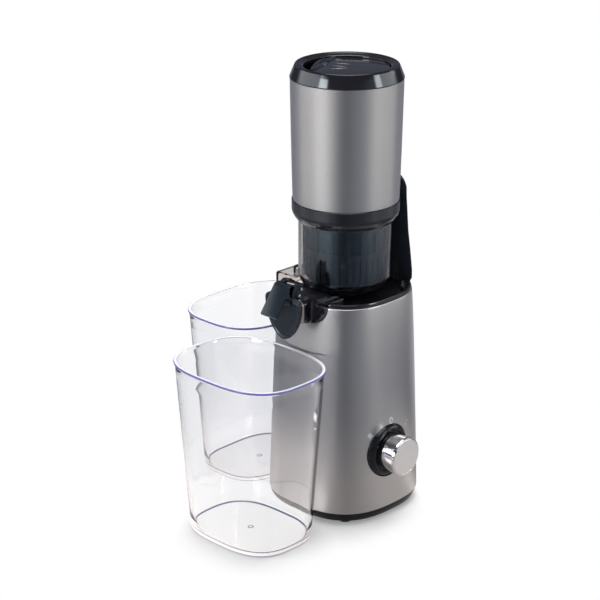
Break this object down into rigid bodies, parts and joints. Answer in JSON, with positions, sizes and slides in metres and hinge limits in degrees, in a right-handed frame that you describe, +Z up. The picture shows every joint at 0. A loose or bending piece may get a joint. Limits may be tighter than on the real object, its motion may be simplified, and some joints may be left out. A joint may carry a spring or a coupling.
{
  "type": "cold press juicer",
  "caption": "Upright cold press juicer: motor base with rear column, clear bowl with strainer and auger, wide hopper with swing flap, capped spout, control knob, juice cup and pulp cup.",
  "frame": {"origin": "on the drive axis at table level", "axes": "+Z up along the drive axis, -Y towards the juice spout, +X towards the control knob, -X towards the pulp outlet, +Y towards the rear column"},
  "size_m": [0.2621, 0.247, 0.4384],
  "materials": {
    "sleeve_metal": "metallic titanium-grey lacquer, satin",
    "black_gloss": "black gloss",
    "black_satin": "black satin",
    "foot_rubber": "matt",
    "seal_rubber": "smooth silicone",
    "steel": "turned",
    "die_cast": "die cast",
    "bronze": "sintered bronze",
    "gear_plastic": "acetal",
    "switch_plastic": "moulded",
    "board": "circuit board",
    "knob_chrome": "chrome flank, brushed face",
    "bowl_smoke": "smoky clear",
    "cap_plastic": "bluish black gloss",
    "basket_plastic": "dark",
    "cup_clear": "clear"
  },
  "bodies": {
    "base": {"housing": "sleeve_metal", "top_cover": "black_gloss", "rear_column": "black_gloss", "bottom_cover": "black_satin", "feet": "foot_rubber", "base_screws": "steel", "cord_gland": "black_satin", "knob_bezel": "black_satin", "rotary_switch": "switch_plastic", "control_board": "board", "interlock_switch": "black_satin", "motor": "steel", "gearbox_housing": "die_cast", "gearbox_cover": "die_cast", "gearbox_screws": "steel", "layshaft_pin": "steel", "output_bearing": "bronze", "drive_seal": "seal_rubber"},
    "rotor": {"motor_shaft": "steel", "motor_pinion": "bronze", "cooling_fan": "gear_plastic"},
    "layshaft": {"compound_gear": "gear_plastic"},
    "drive": {"output_gear": "bronze", "drive_shaft": "steel"},
    "knob": {"knob": "knob_chrome", "switch_spindle": "steel"},
    "bowl": {"bowl": "bowl_smoke", "bowl_seal": "seal_rubber", "strainer_frame": "basket_plastic", "strainer_mesh": "steel", "pulp_gate": "seal_rubber", "cap_pin": "steel"},
    "auger": {"auger": "basket_plastic", "auger_shaft": "steel"},
    "hopper": {"collar": "black_gloss", "hopper_shell": "sleeve_metal", "bevel_ring": "black_gloss", "feed_tube": "black_gloss", "flap_pin": "steel", "flap_spring": "steel"},
    "flap": {"flap": "black_gloss"},
    "juice_cap": {"juice_cap": "cap_plastic", "cap_seal": "seal_rubber"},
    "juice_cup": {"juice_cup": "cup_clear"},
    "pulp_cup": {"pulp_cup": "cup_clear"}
  },
  "joints": [
    {"name": "drive_spin", "type": "hinge", "parent": "base", "child": "drive", "pos_m": [0, 0, 0.18], "axis": [0, 0, 1], "continuous": true},
    {"name": "motor_spin", "type": "hinge", "parent": "base", "child": "rotor", "pos_m": [0, 0, 0.11], "axis": [0, 0, 1], "continuous": true},
    {"name": "layshaft_spin", "type": "hinge", "parent": "base", "child": "layshaft", "pos_m": [-0.0198, 0.0198, 0.17], "axis": [0, 0, 1], "continuous": true},
    {"name": "knob_turn", "type": "hinge", "parent": "base", "child": "knob", "pos_m": [0.078, -0.006, 0.07], "axis": [-1, 0, 0], "range_deg": [0, 112]},
    {"name": "bowl_lift", "type": "slide", "parent": "base", "child": "bowl", "axis": [0, 0, 1], "range_m": [0, 0.1]},
    {"name": "auger_spin", "type": "hinge", "parent": "bowl", "child": "auger", "pos_m": [0, 0, 0.26], "axis": [0, 0, 1], "continuous": true},
    {"name": "hopper_lift", "type": "slide", "parent": "bowl", "child": "hopper", "axis": [0, 0, 1], "range_m": [0, 0.12]},
    {"name": "flap_swing", "type": "hinge", "parent": "hopper", "child": "flap", "pos_m": [-0.02199, -0.00961, 0.4334], "axis": [-0.4003, 0.9164, 0], "range_deg": [0, 75], "stiffness_Nm_per_rad": 0.02, "springref_deg": -34.38},
    {"name": "cap_swing", "type": "hinge", "parent": "bowl", "child": "juice_cap", "pos_m": [0, -0.0707, 0.2378], "axis": [-1, 0, 0], "range_deg": [0, 95]},
    {"name": "juice_cup_slide", "type": "slide", "parent": "base", "child": "juice_cup", "axis": [0, -1, 0], "range_m": [0, 0.12]},
    {"name": "pulp_cup_slide", "type": "slide", "parent": "base", "child": "pulp_cup", "axis": [-1, 0, 0], "range_m": [0, 0.12]}
  ],
  "couplings": [
    {"joint": "motor_spin", "follows": "drive_spin", "ratio": 11},
    {"joint": "layshaft_spin", "follows": "drive_spin", "ratio": -3},
    {"joint": "auger_spin", "follows": "drive_spin", "ratio": 1}
  ]
}
